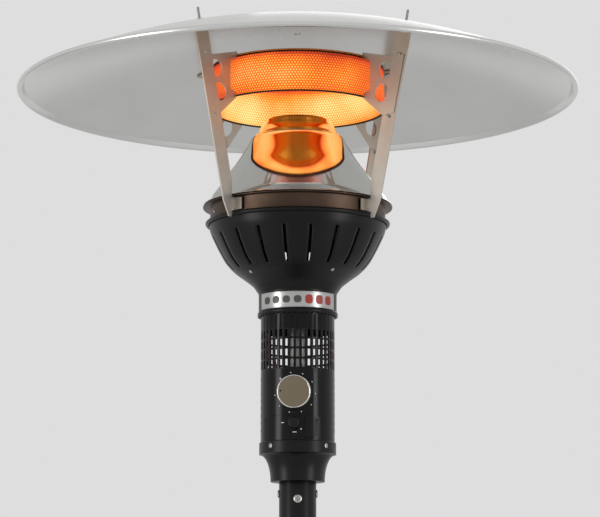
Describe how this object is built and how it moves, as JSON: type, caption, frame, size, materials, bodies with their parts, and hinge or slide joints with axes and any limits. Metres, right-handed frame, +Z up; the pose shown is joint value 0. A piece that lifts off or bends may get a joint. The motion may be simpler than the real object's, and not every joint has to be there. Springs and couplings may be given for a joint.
{
  "type": "free-standing outdoor gas heater",
  "caption": "Free-standing outdoor gas heater: round reflector on four struts over a glowing screen, polished cone, slotted bowl, knob housing and pole on a wheeled cylinder base.",
  "frame": {"origin": "on the ground, on the axis of the pole, at the underside of the base", "axes": "+Z up along the pole, -Y out of the front with the knobs, +X to the right of the front"},
  "size_m": [0.88, 0.88, 2.2058],
  "materials": {
    "black_paint": "satin",
    "gloss_black_paint": "gloss",
    "grey_paint": "satin",
    "zinc_steel": "satin",
    "polished_steel": "polished",
    "satin_steel": "satin, lightly heat tinted",
    "tinted_steel": "brown heat tint",
    "glowing_mesh": "perforated, glowing",
    "reflector_sheet": "spun satin",
    "brass": "satin",
    "copper": "drawn copper tube",
    "cast_alloy": "as cast",
    "taupe_metal": "brushed, anodised taupe",
    "silver_plate": "satin",
    "white_ceramic": "matte",
    "red_sleeve": "silicone sleeve",
    "wheel_rubber": "matte",
    "handwheel_plastic": "matte",
    "black_plastic": "gloss"
  },
  "bodies": {
    "heater": {"base_pan": "black_paint", "axle": "zinc_steel", "tank_housing": "black_paint", "door_hinge_pin": "zinc_steel", "gas_cylinder": "grey_paint", "cylinder_valve": "brass", "regulator": "cast_alloy", "support_leg_rear": "zinc_steel", "support_leg_left": "zinc_steel", "support_leg_right": "zinc_steel", "pole_socket": "zinc_steel", "pole": "black_paint", "lower_collar": "black_paint", "control_housing": "gloss_black_paint", "control_panel": "gloss_black_paint", "selector_plate": "gloss_black_paint", "gas_valve": "cast_alloy", "gas_orifice": "brass", "burner_tube": "zinc_steel", "pilot_gas_tube": "copper", "thermocouple": "copper", "ignition_lead": "red_sleeve", "igniter_electrode": "white_ceramic", "pilot_burner": "satin_steel", "bowl": "black_paint", "badge_plate": "silver_plate", "burner_band": "tinted_steel", "deflector_cone": "polished_steel", "burner_cap": "polished_steel", "emitter_screen": "glowing_mesh", "emitter_cap": "tinted_steel", "reflector": "reflector_sheet", "strut_front_left": "satin_steel", "gusset_front_left": "satin_steel", "reflector_bolt_front_left": "zinc_steel", "strut_front_right": "satin_steel", "gusset_front_right": "satin_steel", "reflector_bolt_front_right": "zinc_steel", "strut_rear_right": "satin_steel", "gusset_rear_right": "satin_steel", "reflector_bolt_rear_right": "zinc_steel", "strut_rear_left": "satin_steel", "gusset_rear_left": "satin_steel", "reflector_bolt_rear_left": "zinc_steel", "pole_screw_front": "zinc_steel", "collar_screw_front": "zinc_steel", "pole_screw_right": "zinc_steel", "collar_screw_right": "zinc_steel", "pole_screw_rear": "zinc_steel", "collar_screw_rear": "zinc_steel", "pole_screw_left": "zinc_steel", "collar_screw_left": "zinc_steel"},
    "door": {"housing_door": "black_paint", "door_pull": "polished_steel"},
    "main_knob": {"main_knob": "taupe_metal"},
    "selector_stem": {"selector_stem": "zinc_steel"},
    "selector_knob": {"selector_knob": "black_plastic"},
    "cylinder_handwheel": {"cylinder_handwheel": "handwheel_plastic"},
    "wheel_left": {"wheel_left": "wheel_rubber"},
    "wheel_right": {"wheel_right": "wheel_rubber"}
  },
  "joints": [
    {"name": "door_hinge", "type": "hinge", "parent": "heater", "child": "door", "pos_m": [-0.155, -0.14094, 0.312], "axis": [0, 0, -1], "range_deg": [0, 110]},
    {"name": "main_knob_turn", "type": "hinge", "parent": "heater", "child": "main_knob", "pos_m": [0, -0.07, 1.6281], "axis": [0, 1, 0], "range_deg": [-310, 0]},
    {"name": "selector_push", "type": "slide", "parent": "heater", "child": "selector_stem", "axis": [0, 1, 0], "range_m": [0, 0.004], "stiffness_N_per_m": 1200},
    {"name": "selector_turn", "type": "hinge", "parent": "selector_stem", "child": "selector_knob", "pos_m": [0, -0.068, 1.5813], "axis": [0, 1, 0], "range_deg": [0, 135]},
    {"name": "cylinder_valve_turn", "type": "hinge", "parent": "heater", "child": "cylinder_handwheel", "pos_m": [0, 0, 0.427], "axis": [0, 0, 1], "range_deg": [0, 540]},
    {"name": "wheel_left_spin", "type": "hinge", "parent": "heater", "child": "wheel_left", "pos_m": [-0.087, 0.284, 0.065], "axis": [1, 0, 0], "continuous": true},
    {"name": "wheel_right_spin", "type": "hinge", "parent": "heater", "child": "wheel_right", "pos_m": [0.087, 0.284, 0.065], "axis": [1, 0, 0], "continuous": true}
  ]
}
